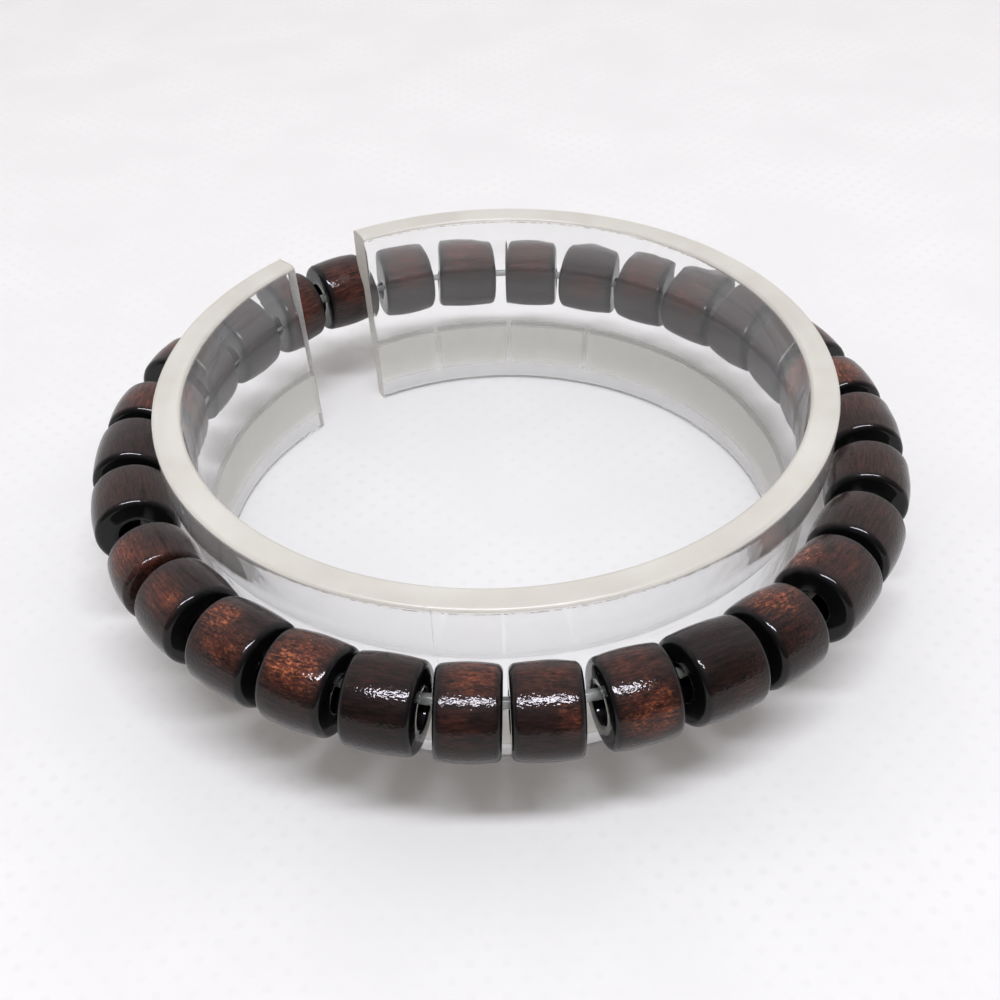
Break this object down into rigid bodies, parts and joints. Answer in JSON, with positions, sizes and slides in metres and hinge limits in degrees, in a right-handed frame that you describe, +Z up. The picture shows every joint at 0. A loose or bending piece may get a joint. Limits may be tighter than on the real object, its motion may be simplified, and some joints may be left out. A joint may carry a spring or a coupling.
{
  "type": "beaded bracelet on a display ring",
  "caption": "Bracelet of short drilled wooden barrel beads on a loop of elastic cord, stretched over a C-shaped clear plastic display ring that stands on its foot.",
  "frame": {"origin": "middle of the bead circle, on the surface that the display ring stands on", "axes": "+Z up out of the display ring's open top, -Y the front, +X right; the ring's slit is at the back left"},
  "size_m": [0.079, 0.0788, 0.021],
  "materials": {
    "stained_wood": "dark brown stain under thin gloss varnish, end faces almost black",
    "clear_plastic": "clear moulded plastic, smooth and glossy, a little cloudy and yellow at the rim",
    "clear_elastic": "clear to milky round elastic cord"
  },
  "bodies": {
    "root": {"display_ring": "clear_plastic", "elastic_cord": "clear_elastic", "bead_01": "stained_wood", "bead_02": "stained_wood", "bead_03": "stained_wood", "bead_04": "stained_wood", "bead_05": "stained_wood", "bead_06": "stained_wood", "bead_07": "stained_wood", "bead_08": "stained_wood", "bead_09": "stained_wood", "bead_10": "stained_wood", "bead_11": "stained_wood", "bead_12": "stained_wood", "bead_13": "stained_wood", "bead_14": "stained_wood", "bead_15": "stained_wood", "bead_16": "stained_wood", "bead_17": "stained_wood", "bead_18": "stained_wood", "bead_19": "stained_wood", "bead_20": "stained_wood", "bead_21": "stained_wood", "bead_22": "stained_wood", "bead_23": "stained_wood", "bead_24": "stained_wood", "bead_25": "stained_wood", "bead_26": "stained_wood", "bead_27": "stained_wood", "bead_28": "stained_wood", "bead_29": "stained_wood", "bead_30": "stained_wood"}
  },
  "joints": []
}
